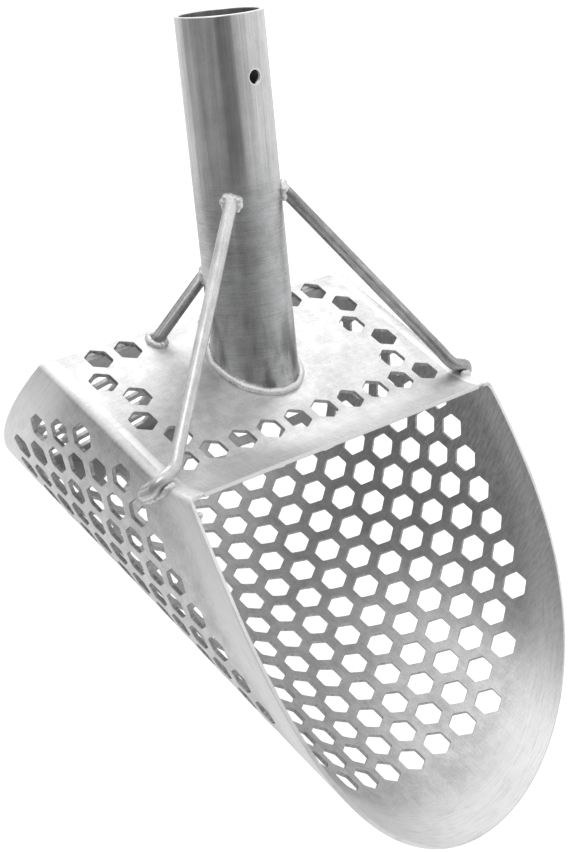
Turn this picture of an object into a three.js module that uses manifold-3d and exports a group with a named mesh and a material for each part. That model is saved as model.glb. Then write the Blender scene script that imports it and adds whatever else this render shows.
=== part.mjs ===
// Long-handle beach sand scoop: a welded stainless steel basket with a handle socket.
//
// Frame, in millimetres: +Z is the normal of the flat top plate, -Y points out of the mouth and
// +X is across. The pieces are drawn about the point where the socket's axis meets the plate's
// top face. The finished object's origin is below its middle, level with the keel's underside.
//
// The trough, the top plate and the rear plate are sheets with hexagonal sieve holes on one
// honeycomb lattice. Each sheet is drawn flat, as (across, ahead) coordinates, and is then
// laid on its surface. "Ahead" is measured towards the mouth from the plate's first hole row.
// Every piece is drawn with a flat top. The front of the top is then turned up into a lip.

import * as THREE from 'three'
import { mergeVertices } from 'three/addons/utils/BufferGeometryUtils.js'
import Module from 'manifold-3d'

const wasm = await Module()
wasm.setup()

// ---------------------------------------------------------------- driving dimensions

const PITCH = 16.9 // hole centre to hole centre
const HOLE_FLATS = 11.7 // hexagonal hole, across flats
const SHEET = 2 // sheet thickness
const GAP = 0.3 // clearance left between neighbouring solids

const KEEL_RADIUS = 88 // bend radius of the trough at its keel
const HALF_GIRTH = 172 // developed length from the keel to the top of a side wall
const WALL_LEAN = THREE.MathUtils.degToRad(7.2) // the tops of the side walls lean in
const CORNER_RADIUS = 3 // outside radius where a wall bends over into its top flange
const SEAM_X = 88.5 // the seam where a flange meets the top plate
const SEAM_HALF_WIDTH = 1.6

const SOCKET_SETBACK = 40.5 // socket axis behind the plate's first hole row
const PLATE_REAR = 81 // rear edge of the plate behind the first row
const LIP_START = 3 // where the lip starts to turn up, ahead of the first row
const LIP_END = 25.5 // front edge of the lip
const LIP_RISE = 6 // height of the lip's front edge above the plate
const LIP_FULL_DEPTH = 5 // the side walls are lifted with the lip down to here
const LIP_DEPTH = 30 // and less and less down to here

const MOUTH_REACH = 166 // the digging edge at the keel, ahead of the first row
const MOUTH_CURVE = 230 // the mouth's edge falls back by across^2 / MOUTH_CURVE
const REAR_RAKE = Math.tan(THREE.MathUtils.degToRad(21.5)) // slope of the rear plate

const SOCKET_RADIUS = 20
const SOCKET_WALL = 2
const SOCKET_LENGTH = 161
const SOCKET_RAKE = THREE.MathUtils.degToRad(28) // the socket leans back from the plate's normal
const PIN_HOLE_RADIUS = 3.2 // cross hole for the handle's bolt
const PIN_HOLE_DROP = 28 // below the rim

const ROD_RADIUS = 3
const FRONT_STRUT_HEIGHT = 79 // where the front struts meet the socket, along its axis
const FRONT_STRUT_BEARING = THREE.MathUtils.degToRad(50) // from straight ahead
const FRONT_STRUT_Y = -48 // where they cross the plate's side edges
const FRONT_STRUT_LANDING = 89.5 // where they reach the plate, from the middle
const TAIL_DROP = 5 // straight end of a front strut, down the wall
const TAIL_SWEEP = 4 // and back
const REAR_STRUT_HEIGHT = 42
const REAR_STRUT_BEARING = THREE.MathUtils.degToRad(155)
const REAR_FOOT_X = 2 * PITCH

// ---------------------------------------------------------------- derived sizes

const HEX_RADIUS = HOLE_FLATS / Math.sqrt(3)
const ROW = PITCH * Math.sqrt(3) / 2
const PLATE_MID = -SHEET / 2
const CORNER_MID = CORNER_RADIUS - SHEET / 2
const WALL_HEADING = Math.PI / 2 + WALL_LEAN
const CORNER_ARC = CORNER_MID * (Math.PI - WALL_HEADING)
const SIDE_LINES = 20 // last lattice line on a side wall, in half pitches
const PLATE_LINES = 10 // last lattice line on the plate
const socketAxis = new THREE.Vector3(0, Math.sin(SOCKET_RAKE), Math.cos(SOCKET_RAKE))

// The trough's section: it turns fastest at the keel, and the tops of its walls lean in.
function heading(across) {
  const part = across / HALF_GIRTH
  const total = HALF_GIRTH / KEEL_RADIUS
  return total * part - (total - Math.PI / 2) * part ** 3 + WALL_LEAN * part ** 6
}

// Run and rise of the trough's section from the keel to a developed distance.
function runAndRise(across) {
  const steps = 64
  const step = across / steps
  let run = 0
  let rise = 0
  for (let i = 0; i < steps; i += 1) {
    const angle = heading((i + 0.5) * step)
    run += Math.cos(angle) * step
    rise += Math.sin(angle) * step
  }
  return { run, rise }
}

// The corner's radius is centred at CORNER_X, level with -CORNER_RADIUS.
const wall = runAndRise(HALF_GIRTH)
const CORNER_X = wall.run - Math.sin(WALL_HEADING) * CORNER_MID
const KEEL_HEIGHT = -CORNER_RADIUS - Math.cos(WALL_HEADING) * CORNER_MID - wall.rise
const FLANGE_END = HALF_GIRTH + CORNER_ARC + CORNER_X - SEAM_X

// Point of the section at a developed distance from the keel: the trough, then the corner
// over the wall's top, then the flange that lies flush with the plate.
function section(across) {
  const side = Math.sign(across)
  const girth = Math.abs(across)
  const pastWall = girth - HALF_GIRTH
  if (pastWall <= 0) {
    const { run, rise } = runAndRise(girth)
    return { x: side * run, z: KEEL_HEIGHT + rise, angle: side * heading(girth) }
  }
  const angle = WALL_HEADING + Math.min(pastWall, CORNER_ARC) / CORNER_MID
  const flange = Math.max(pastWall - CORNER_ARC, 0)
  return {
    x: side * (CORNER_X + Math.sin(angle) * CORNER_MID - flange),
    z: -CORNER_RADIUS - Math.cos(angle) * CORNER_MID,
    angle: side * angle,
  }
}

// How far the lip lifts a point of the top, and of the walls' tops below it.
function lipLift(ahead, z) {
  const { clamp, smoothstep } = THREE.MathUtils
  const forward = clamp((ahead - LIP_START) / (LIP_END - LIP_START), 0, 1)
  return LIP_RISE * forward ** 2 * smoothstep(z, -LIP_DEPTH, -LIP_FULL_DEPTH)
}

// ---------------------------------------------------------------- edges of the sheets

// The mouth's edge is a parabola on the sheet, and it meets the front edge of the lip.
function mouthEdge(across) {
  const girth = Math.abs(across) + lipLift(LIP_END, section(across).z)
  return Math.max(MOUTH_REACH - girth ** 2 / MOUTH_CURVE, LIP_END)
}

const rearEdge = (z) => -PLATE_REAR + REAR_RAKE * z
const yAhead = (ahead) => -SOCKET_SETBACK - ahead

// ---------------------------------------------------------------- solids and booleans

function finish(geometry) {
  const flat = geometry.clone()
  flat.deleteAttribute('normal')
  flat.deleteAttribute('uv')
  return mergeVertices(flat, 1e-4)
}

function toManifold(geometry) {
  const merged = finish(geometry)
  return new wasm.Manifold(new wasm.Mesh({
    numProp: 3,
    vertProperties: new Float32Array(merged.attributes.position.array),
    triVerts: new Uint32Array(merged.index.array),
  }))
}

function fromManifold(solid) {
  const mesh = solid.getMesh()
  const geometry = new THREE.BufferGeometry()
  geometry.setAttribute('position', new THREE.BufferAttribute(mesh.vertProperties, 3))
  geometry.setIndex(new THREE.BufferAttribute(mesh.triVerts, 1))
  geometry.computeVertexNormals()
  return geometry
}

function cut(base, ...tools) {
  return fromManifold(tools.reduce((solid, tool) => solid.subtract(toManifold(tool)), toManifold(base)))
}

// ---------------------------------------------------------------- perforated sheet

const LIP_STATIONS = [0, 0.25, 0.5, 0.75].map((part) => LIP_START + (LIP_END - LIP_START) * part)

// The lip's stations that a line { across, from, to, holes } reaches outside its holes.
function stationsOn(line) {
  const inHole = (ahead) => line.holes.some((centre) => Math.abs(ahead - centre) < HEX_RADIUS + GAP)
  return LIP_STATIONS.filter((ahead) => ahead < line.to - GAP && !inHole(ahead))
}

// One side of a strip of sheet. It runs along a line and round the half of every hole that
// reaches inwards.
function stripSide(line, inwards) {
  const side = [line.from, ...stationsOn(line), line.to].map((ahead) => [line.across, ahead])
  for (const centre of line.holes) {
    side.push([line.across, centre - HEX_RADIUS])
    side.push([line.across + inwards, centre - HEX_RADIUS / 2])
    side.push([line.across + inwards, centre + HEX_RADIUS / 2])
    side.push([line.across, centre + HEX_RADIUS])
  }
  return side.sort((a, b) => a[1] - b[1])
}

// Outlines of the strips between neighbouring lines. A strip is divided at the lip's stations
// where both of its sides have one.
function strips(lines) {
  return lines.slice(1).flatMap((right, i) => {
    const left = lines[i]
    const shared = stationsOn(left).filter((ahead) => stationsOn(right).includes(ahead))
    const ends = [Math.min(left.from, right.from), ...shared, Math.max(left.to, right.to)]
    return ends.slice(1).map((far, k) => {
      const within = ([, ahead]) => ahead >= ends[k] && ahead <= far
      const leftSide = stripSide(left, HOLE_FLATS / 2).filter(within)
      const rightSide = stripSide(right, -HOLE_FLATS / 2).filter(within)
      return [...leftSide, ...rightSide.reverse()]
    })
  })
}

// Closed sheet from flat outlines that share their common edges. place(across, ahead, side)
// gives the point of the surface, with side = +-1/2 for its two faces.
function sheetFromOutlines(outlines, place) {
  const positions = []
  const edges = new Map()
  const put = (point, side) => positions.push(...place(point[0], point[1], side).toArray())
  const key = (a, b) => [...a, ...b].map((value) => value.toFixed(3)).join()
  for (const outline of outlines) {
    const contour = outline.map(([across, ahead]) => new THREE.Vector2(across, ahead))
    const clockwise = THREE.ShapeUtils.isClockWise(contour)
    const ring = clockwise ? [...outline].reverse() : outline
    const ringContour = clockwise ? contour.reverse() : contour
    for (const [a, b, c] of THREE.ShapeUtils.triangulateShape(ringContour, [])) {
      [a, b, c].forEach((corner) => put(ring[corner], 0.5))
      const back = [a, c, b]
      back.forEach((corner) => put(ring[corner], -0.5))
    }
    ring.forEach((start, i) => {
      const end = ring[(i + 1) % ring.length]
      if (edges.has(key(end, start))) edges.delete(key(end, start))
      else edges.set(key(start, end), [start, end])
    })
  }
  for (const [start, end] of edges.values()) {
    put(start, -0.5)
    put(end, -0.5)
    put(end, 0.5)
    put(start, -0.5)
    put(end, 0.5)
    put(start, 0.5)
  }
  const geometry = new THREE.BufferGeometry()
  geometry.setAttribute('position', new THREE.BufferAttribute(new Float32Array(positions), 3))
  return finish(geometry)
}

// ---------------------------------------------------------------- trough

const FRONT_ROW = 8 // the rows run from the first plate row to this one ahead of it
const REAR_ROW = -7
const MOUTH_BAND = 1.95 * PITCH // plain band along the mouth
const REAR_BAND = 0.85 * PITCH // plain band along the rear edge

// The left wall has one more column of holes at its top than the right wall.
function troughHasHole(line, row, z) {
  const ahead = row * ROW
  const across = Math.abs(line) / 2
  const widest = line < 0 ? 9.5 : 9
  const taper = row > 0 ? 9 - row / 2 : widest
  const inMouth = mouthEdge(across * PITCH) - ahead >= MOUTH_BAND
  return across <= taper && inMouth && ahead - rearEdge(z) >= REAR_BAND
}

function troughLine(line) {
  const across = line * PITCH / 2
  const { z } = section(across)
  const holes = []
  for (let row = REAR_ROW; row <= FRONT_ROW; row += 1) {
    if ((row + line) % 2 === 0 && troughHasHole(line, row, z)) holes.push(row * ROW)
  }
  return { across, from: rearEdge(z), to: mouthEdge(across), holes }
}

// Lines of the corner and the flange on one side, from the wall's top to the seam.
function flangeLines(side) {
  const edge = FLANGE_END - SEAM_HALF_WIDTH - GAP
  const stops = [0, 1 / 3, 2 / 3, 1].map((part) => HALF_GIRTH + CORNER_ARC * part)
  return [...stops, edge].map((girth) => ({
    across: side * girth,
    from: rearEdge(section(girth).z),
    to: mouthEdge(girth),
    holes: [],
  }))
}

function troughShell() {
  const lines = flangeLines(-1).reverse()
  for (let line = -SIDE_LINES; line <= SIDE_LINES; line += 1) lines.push(troughLine(line))
  lines.push(...flangeLines(1))
  return sheetFromOutlines(strips(lines), (across, ahead, side) => {
    const point = section(across)
    const out = side * SHEET
    return new THREE.Vector3(
      point.x + Math.sin(point.angle) * out,
      yAhead(ahead),
      point.z - Math.cos(point.angle) * out,
    )
  })
}

// ---------------------------------------------------------------- top plate

// Two hole rows along the front, a column down each side and pairs at the rear corners.
function plateHoles(line) {
  const across = Math.abs(line) / 2
  const rows = []
  for (let row = 0; row <= 5; row += 1) {
    if ((row + line) % 2 === 0) continue
    const atSide = across >= 4
    const atRear = row === 5 && (across === 3 || across === 0)
    if (row === 0 || (atSide && across <= 4.5) || atRear) rows.push(-row * ROW)
  }
  return rows.filter(() => across <= 4.5).reverse()
}

const layFlat = (across, ahead, side) =>
  new THREE.Vector3(across, yAhead(ahead), PLATE_MID - side * SHEET)

const plainLine = (across) => ({ across, from: -PLATE_REAR, to: LIP_END, holes: [] })

function topPlate() {
  const edge = SEAM_X - SEAM_HALF_WIDTH - GAP
  const lines = [plainLine(-edge)]
  for (let line = -PLATE_LINES; line <= PLATE_LINES; line += 1) {
    lines.push({ ...plainLine(line * PITCH / 2), holes: plateHoles(line) })
  }
  lines.push(plainLine(edge))
  return sheetFromOutlines(strips(lines), layFlat)
}

// The seam between a flange and the plate, welded and ground flush.
function sideSeamWeld(side) {
  const lines = [-1, 1].map((edge) => plainLine(side * SEAM_X + edge * SEAM_HALF_WIDTH))
  return sheetFromOutlines(strips(lines), layFlat)
}

// ---------------------------------------------------------------- rear plate

// The section seen along Y, closed by the corners and the plate, and drawn in by an inset.
function closedSection(inset) {
  const stops = [...flangeLines(-1), ...flangeLines(1)].map((line) => line.across)
  for (let line = -SIDE_LINES; line <= SIDE_LINES; line += 1) stops.push(line * PITCH / 2)
  stops.sort((a, b) => a - b)
  return stops.map((across) => {
    const { x, z, angle } = section(across)
    return [x - Math.sin(angle) * inset, z + Math.cos(angle) * inset]
  })
}

const REAR_SCALE = Math.hypot(1, REAR_RAKE) // slope length per unit of depth
const REAR_BEAD = 1.5 // radius of the bead in the recess behind the rear plate
const REAR_RECESS = 2 * (REAR_BEAD + GAP) // from the trough's rear edge to the plate
const REAR_FIRST_ROW = 2 // first and last hole rows below the plate
const REAR_LAST_ROW = 7

// Placed on the raked rear plane, or parallel to it by a distance towards the mouth. The rim
// runs along Y, so that it stays parallel to the trough's inside.
function onRearPlane(x, z, inward) {
  return new THREE.Vector3(x, yAhead(rearEdge(z)) - inward * REAR_SCALE, z)
}

function rearPlate() {
  const shape = new THREE.Shape(closedSection(SHEET / 2 + GAP + 0.1)
    .map(([x, z]) => new THREE.Vector2(x, z * REAR_SCALE)))
  for (let row = REAR_FIRST_ROW; row <= REAR_LAST_ROW; row += 1) {
    const depth = row * ROW / REAR_SCALE
    const halfWidth = closedSection(REAR_BAND)
      .filter(([, z]) => Math.abs(z + depth) < ROW)
      .reduce((widest, [x]) => Math.max(widest, x), 0)
    for (let line = -SIDE_LINES; line <= SIDE_LINES; line += 1) {
      const x = line * PITCH / 2
      if ((row + line) % 2 === 0 && Math.abs(x) < halfWidth - HOLE_FLATS / 2) {
        shape.holes.push(hexagon(x, -row * ROW))
      }
    }
  }
  const sheet = new THREE.ExtrudeGeometry(shape, { depth: SHEET, bevelEnabled: false })
  const position = sheet.attributes.position
  for (let i = 0; i < position.count; i += 1) {
    const depth = position.getY(i) / REAR_SCALE
    const point = onRearPlane(position.getX(i), depth, position.getZ(i) + REAR_RECESS)
    position.setXYZ(i, point.x, point.y, point.z)
  }
  return finish(sheet)
}

function hexagon(x, y) {
  const path = new THREE.Path()
  for (let i = 0; i < 6; i += 1) {
    const angle = Math.PI / 6 + Math.PI / 3 * i
    const corner = [x + HEX_RADIUS * Math.cos(angle), y + HEX_RADIUS * Math.sin(angle)]
    if (i === 0) path.moveTo(...corner)
    else path.lineTo(...corner)
  }
  path.closePath()
  return path
}

// ---------------------------------------------------------------- beads and rods

// A round bar swept along a list of points.
function bar(points, radius, closed = false, sides = 8) {
  const curve = new THREE.CatmullRomCurve3(points, closed, 'centripetal')
  const disc = new THREE.Shape()
  for (let i = 0; i < sides; i += 1) {
    const angle = 2 * Math.PI * i / sides
    const corner = [radius * Math.cos(angle), radius * Math.sin(angle)]
    if (i === 0) disc.moveTo(...corner)
    else disc.lineTo(...corner)
  }
  return new THREE.ExtrudeGeometry(disc, {
    steps: closed ? points.length : points.length + 6,
    extrudePath: curve,
    bevelEnabled: false,
  })
}

function rearRimWeld() {
  const inset = SHEET / 2 + GAP + REAR_BEAD
  const path = closedSection(inset).map(([x, z]) => onRearPlane(x, z, REAR_RECESS / 2))
  return bar(path, REAR_BEAD, true, 6)
}

// ---------------------------------------------------------------- handle socket

const aboutSocket = new THREE.Matrix4().makeBasis(
  new THREE.Vector3(1, 0, 0),
  new THREE.Vector3(0, Math.cos(SOCKET_RAKE), -Math.sin(SOCKET_RAKE)),
  socketAxis,
)

// Point at a height along the socket's axis, a bearing from straight ahead and a radius.
function aroundSocket(height, bearing, radius) {
  return new THREE.Vector3(
    Math.sin(bearing) * radius,
    -Math.cos(bearing) * radius,
    height,
  ).applyMatrix4(aboutSocket)
}

function socketCylinder(radius, from, to, sides = 48) {
  return new THREE.CylinderGeometry(radius, radius, to - from, sides)
    .rotateX(Math.PI / 2)
    .translate(0, 0, (from + to) / 2)
    .applyMatrix4(aboutSocket)
}

const BELOW_PLATE = -2 * SOCKET_RADIUS

function belowPlate(clearance) {
  const size = 400
  return new THREE.BoxGeometry(size, size, size).translate(0, 0, clearance - size / 2)
}

function handleSocket() {
  const outer = socketCylinder(SOCKET_RADIUS, BELOW_PLATE, SOCKET_LENGTH)
  const bore = socketCylinder(SOCKET_RADIUS - SOCKET_WALL, BELOW_PLATE - 1, SOCKET_LENGTH + 1)
  const pinHole = new THREE.CylinderGeometry(PIN_HOLE_RADIUS, PIN_HOLE_RADIUS, SOCKET_RADIUS * 3, 16)
    .translate(0, 0, SOCKET_LENGTH - PIN_HOLE_DROP)
    .applyMatrix4(aboutSocket)
  return cut(outer, bore, pinHole, belowPlate(GAP))
}

// Fillet bead round the foot of the socket, on the ellipse where it meets the plate.
function socketBaseWeld() {
  const bead = 2.6
  const lift = bead * 0.6
  const across = SOCKET_RADIUS + bead * 0.6
  const along = across / Math.cos(SOCKET_RAKE)
  const points = []
  for (let i = 0; i < 24; i += 1) {
    const angle = 2 * Math.PI * i / 24
    points.push(new THREE.Vector3(
      across * Math.cos(angle),
      along * Math.sin(angle) + lift * Math.tan(SOCKET_RAKE),
      lift,
    ))
  }
  const body = socketCylinder(SOCKET_RADIUS + GAP, BELOW_PLATE, SOCKET_LENGTH)
  return cut(bar(points, bead, true, 6), body, belowPlate(GAP))
}

// ---------------------------------------------------------------- struts

const CORNER_TRACK = CORNER_RADIUS + ROD_RADIUS + 4 * GAP

// Point over the corner of a side wall, turned from straight up towards the wall.
function overCorner(side, degrees, y, radius) {
  const turn = THREE.MathUtils.degToRad(degrees)
  return new THREE.Vector3(
    side * (CORNER_X + Math.sin(turn) * radius),
    y,
    Math.cos(turn) * radius - CORNER_RADIUS,
  )
}

// The way a front strut's end runs down the wall.
const tailRun = (side) =>
  new THREE.Vector3(side * TAIL_DROP * Math.tan(WALL_LEAN), TAIL_SWEEP, -TAIL_DROP)

// A front strut comes down from the socket, bends over the ground corner and lies on the wall.
function frontStrutPath(side) {
  const top = aroundSocket(FRONT_STRUT_HEIGHT, side * FRONT_STRUT_BEARING,
    SOCKET_RADIUS + ROD_RADIUS + GAP)
  const landing = new THREE.Vector3(side * FRONT_STRUT_LANDING, FRONT_STRUT_Y, CORNER_TRACK - CORNER_RADIUS)
  const straight = [0, 0.5, 0.9, 0.975].map((part) => top.clone().lerp(landing, part))
  const bend = [12, 40, 65, 90].map((turn) => overCorner(side, turn, FRONT_STRUT_Y, CORNER_TRACK))
  const end = bend[bend.length - 1].clone().add(tailRun(side))
  return [...straight, ...bend, end]
}

function rearStrutPath(side) {
  const top = aroundSocket(REAR_STRUT_HEIGHT, side * REAR_STRUT_BEARING,
    SOCKET_RADIUS + ROD_RADIUS + GAP)
  const foot = new THREE.Vector3(side * REAR_FOOT_X, yAhead(-5 * ROW), 0)
  return [top, foot]
}

const nearSocket = () => socketCylinder(SOCKET_RADIUS + GAP, BELOW_PLATE, SOCKET_LENGTH, 48)

function frontStrut(side) {
  return cut(bar(frontStrutPath(side), ROD_RADIUS, false, 10), nearSocket())
}

function rearStrut(side) {
  return cut(bar(rearStrutPath(side), ROD_RADIUS, false, 10), nearSocket(), belowPlate(GAP))
}

// A lump of weld round a rod, kept clear of what it joins.
function rodWeld(centre, size, path, ...neighbours) {
  const lump = new THREE.SphereGeometry(1, 10, 6).scale(...size)
    .translate(centre.x, centre.y, centre.z)
  return cut(lump, bar(path, ROD_RADIUS + GAP, false, 10), ...neighbours)
}

function strutTopWeld(path) {
  const centre = path[0].clone()
  return rodWeld(centre, [5.2, 5.2, 5.6], path, nearSocket())
}

// Everything inside the basket's outer skin, kept clear of a bead that lies on it.
function insideSkin() {
  const shape = new THREE.Shape(closedSection(-SHEET / 2 - GAP)
    .map(([x, z]) => new THREE.Vector2(x, z)))
  return new THREE.ExtrudeGeometry(shape, { depth: MOUTH_REACH, bevelEnabled: false })
    .rotateX(Math.PI / 2)
}

// A bead runs down one side of the tail, round its end and up the other side.
function frontFootWeld(side) {
  const bead = 2.2
  const offset = ROD_RADIUS + bead * 0.6
  const reach = CORNER_RADIUS + bead * 0.5
  const beside = (part) => [-15, 15, 50, 85].map((turn) =>
    overCorner(side, turn, FRONT_STRUT_Y + part * offset, reach))
  const round = [-0.9, 0, 0.9].map((part) => {
    const below = overCorner(side, 90, FRONT_STRUT_Y + part * offset, reach).add(tailRun(side))
    below.z -= offset * (1 - part * part)
    return below
  })
  return cut(bar([...beside(-1), ...round, ...beside(1).reverse()], bead, false, 6),
    bar(frontStrutPath(side), ROD_RADIUS + GAP, false, 10), insideSkin())
}

function rearFootWeld(side) {
  const path = rearStrutPath(side)
  const centre = path[1].clone().setZ(0.5)
  return rodWeld(centre, [6, 6, 4], path, belowPlate(GAP))
}

// ---------------------------------------------------------------- materials

function steel(color, roughness) {
  return new THREE.MeshStandardMaterial({ color, roughness, metalness: 1 })
}

const pieces = []

function turnUpLip(geometry) {
  const position = geometry.attributes.position
  for (let i = 0; i < position.count; i += 1) {
    const ahead = -SOCKET_SETBACK - position.getY(i)
    position.setZ(i, position.getZ(i) + lipLift(ahead, position.getZ(i)))
  }
  geometry.computeVertexNormals()
  return geometry
}

function add(name, geometry, color, roughness) {
  const mesh = new THREE.Mesh(turnUpLip(geometry), steel(color, roughness))
  mesh.name = name
  pieces.push(mesh)
}

const SHEET_COLOR = 0xc9cacc
const TUBE_COLOR = 0xa9abad
const WELD_COLOR = 0xdadad8

add('trough_shell', troughShell(), SHEET_COLOR, 0.38)
add('top_plate', topPlate(), SHEET_COLOR, 0.34)
add('rear_plate', rearPlate(), SHEET_COLOR, 0.38)
add('handle_socket', handleSocket(), TUBE_COLOR, 0.36)
add('socket_base_weld', socketBaseWeld(), WELD_COLOR, 0.5)
add('rear_rim_weld', rearRimWeld(), WELD_COLOR, 0.5)
for (const [side, label] of [[-1, 'left'], [1, 'right']]) {
  add(`side_seam_weld_${label}`, sideSeamWeld(side), SHEET_COLOR, 0.34)
  add(`front_strut_${label}`, frontStrut(side), TUBE_COLOR, 0.36)
  add(`rear_strut_${label}`, rearStrut(side), TUBE_COLOR, 0.36)
  add(`front_strut_top_weld_${label}`, strutTopWeld(frontStrutPath(side)), WELD_COLOR, 0.5)
  add(`rear_strut_top_weld_${label}`, strutTopWeld(rearStrutPath(side)), WELD_COLOR, 0.5)
  add(`front_strut_foot_weld_${label}`, frontFootWeld(side), WELD_COLOR, 0.5)
  add(`rear_strut_foot_weld_${label}`, rearFootWeld(side), WELD_COLOR, 0.5)
}

const group = new THREE.Group()
group.add(...pieces)

// The origin: the middle of the footprint, at the lowest point.
const extent = new THREE.Box3().setFromObject(group)
const middle = extent.getCenter(new THREE.Vector3())
group.position.set(0, -middle.y, -extent.min.z)

export default group
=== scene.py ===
"""Looks of a welded stainless steel beach sand scoop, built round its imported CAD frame.

Shapes are drawn in millimetres about the point where the socket's axis meets the top face of
the plate: +X is across, -Y points out of the mouth and +Z is the plate's normal. The sheets are
drawn flat, as (across, ahead), and are then laid on their surfaces. "Ahead" is measured towards
the mouth from the plate's first row of holes. The front of the top is turned up into a lip.
"""

import math
import random

import bmesh
import bpy
import numpy as np
from mathutils import Matrix, Vector
from mathutils.geometry import delaunay_2d_cdt
from mathutils.kdtree import KDTree


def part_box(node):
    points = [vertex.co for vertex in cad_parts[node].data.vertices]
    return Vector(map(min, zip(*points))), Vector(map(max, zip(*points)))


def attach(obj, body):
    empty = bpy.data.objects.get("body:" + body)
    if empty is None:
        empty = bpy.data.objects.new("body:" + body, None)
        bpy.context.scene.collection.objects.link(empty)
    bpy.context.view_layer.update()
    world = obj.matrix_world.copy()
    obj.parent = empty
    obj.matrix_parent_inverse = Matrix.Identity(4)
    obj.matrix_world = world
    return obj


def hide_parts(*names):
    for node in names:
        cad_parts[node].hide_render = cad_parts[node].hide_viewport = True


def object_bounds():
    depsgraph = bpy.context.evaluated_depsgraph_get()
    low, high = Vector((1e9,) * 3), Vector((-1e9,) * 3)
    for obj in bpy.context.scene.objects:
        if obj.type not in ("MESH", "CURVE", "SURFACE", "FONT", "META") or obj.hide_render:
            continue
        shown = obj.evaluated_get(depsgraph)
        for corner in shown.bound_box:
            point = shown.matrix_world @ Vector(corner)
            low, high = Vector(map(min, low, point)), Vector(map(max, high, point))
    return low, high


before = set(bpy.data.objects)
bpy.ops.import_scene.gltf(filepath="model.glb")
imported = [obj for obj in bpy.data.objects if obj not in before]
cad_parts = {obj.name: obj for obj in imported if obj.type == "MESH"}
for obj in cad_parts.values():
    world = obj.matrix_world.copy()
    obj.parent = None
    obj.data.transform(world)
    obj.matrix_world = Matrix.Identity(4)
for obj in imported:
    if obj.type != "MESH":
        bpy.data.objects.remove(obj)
cad_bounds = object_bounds()

# ------------------------------------------------------------------ driving dimensions, mm

MM = 0.001
PITCH = 16.9            # hole centre to hole centre
HOLE_FLATS = 11.7       # hexagonal hole, across flats
HOLE_CORNER = 0.7       # radius in the corners of a hole
SHEET = 2.0
EDGE = 0.3              # rounding along every cut edge

KEEL_RADIUS = 88.0
HALF_GIRTH = 172.0      # developed length from the keel to the top of a side wall
WALL_LEAN = math.radians(7.2)  # the tops of the side walls lean in
CORNER_RADIUS = 3.0     # where a wall bends over into its flange
SEAM_X = 88.5           # where a flange meets the plate
SEAM_HALF_WIDTH = 1.6

LIP_START = 3.0         # the lip starts to turn up here
LIP_END = 25.5          # and ends here
LIP_RISE = 6.0
LIP_FULL_DEPTH = 5.0    # the side walls are lifted with the lip down to here
LIP_DEPTH = 30.0        # and less and less down to here
PLATE_REAR = 81.0       # rear edge of the plate
MOUTH_CURVE = 230.0     # the mouth's edge falls back by girth^2 / MOUTH_CURVE
MOUTH_BAND = 1.95 * PITCH  # plain bands along the mouth and the rear edge
REAR_BAND = 0.85 * PITCH
REAR_RAKE = math.tan(math.radians(21.5))
REAR_BEAD = 1.7
REAR_RECESS = 3.6       # from the trough's rear edge in to the rear plate

SOCKET_WALL = 2.0
SOCKET_LENGTH = 161.0
SOCKET_RAKE = math.radians(28)
PIN_HOLE_RADIUS = 3.2
PIN_HOLE_DROP = 28.0
DARK_REFLECTION_BEARING = math.radians(-37)  # of a dark band down the socket, a painted reflection of the darker surroundings on the camera's side
DARK_REFLECTION_WIDTH = math.radians(8.1)    # each way, to where it starts to fade
DARK_REFLECTION_FADE = math.radians(12)      # and to where it ends

ROD_RADIUS = 3.0
FRONT_STRUT_HEIGHT = 79.0
FRONT_STRUT_BEARING = math.radians(50)
FRONT_STRUT_AHEAD = 7.5
FRONT_STRUT_LANDING = 89.5
TAIL_DROP = 5.0         # end of a front strut, down the wall
TAIL_SWEEP = 4.0        # and back
REAR_STRUT_HEIGHT = 42.0
REAR_STRUT_BEARING = math.radians(155)
REAR_FOOT_X = 2 * PITCH

EDGE_GAP = 2.6          # between points along a cut edge
SHEET_GAP = 3.2         # and over a sheet

# ------------------------------------------------------------------ places taken from the frame

SOCKET_SETBACK = 40.5   # socket axis behind the plate's first row of holes
plate_low, plate_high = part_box("top_plate")
trough_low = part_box("trough_shell")[0]
socket_low, socket_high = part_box("handle_socket")
ORIGIN = np.array([0, plate_high.y - (PLATE_REAR - SOCKET_SETBACK) * MM, plate_low.z + SHEET * MM])
SOCKET_RADIUS = (socket_high.x - socket_low.x) / 2 / MM
MOUTH_REACH = (ORIGIN[1] - trough_low.y) / MM - SOCKET_SETBACK

ROW = PITCH * math.sqrt(3) / 2
HEX_RADIUS = HOLE_FLATS / math.sqrt(3)
PLATE_MID = -SHEET / 2
CORNER_MID = CORNER_RADIUS - SHEET / 2
WALL_HEADING = math.pi / 2 + WALL_LEAN
CORNER_ARC = CORNER_MID * (math.pi - WALL_HEADING)
REAR_SCALE = math.hypot(1, REAR_RAKE)
FRONT_STRUT_Y = -SOCKET_SETBACK - FRONT_STRUT_AHEAD
REAR_FOOT_Y = -SOCKET_SETBACK + 5 * ROW
dice = random.Random(7)


def unit(vectors):
    return vectors / np.linalg.norm(vectors, axis=-1, keepdims=True)


def fade(values, start, end):
    """0 up to the start, 1 from the end on and a straight line between."""
    return np.clip((values - start) / (end - start), 0, 1)


# ------------------------------------------------------------------ the basket's section

def heading(across):
    """Angle of the wall from level, at a distance round from the keel."""
    part = across / HALF_GIRTH
    total = HALF_GIRTH / KEEL_RADIUS
    return total * part - (total - math.pi / 2) * part ** 3 + WALL_LEAN * part ** 6


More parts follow.
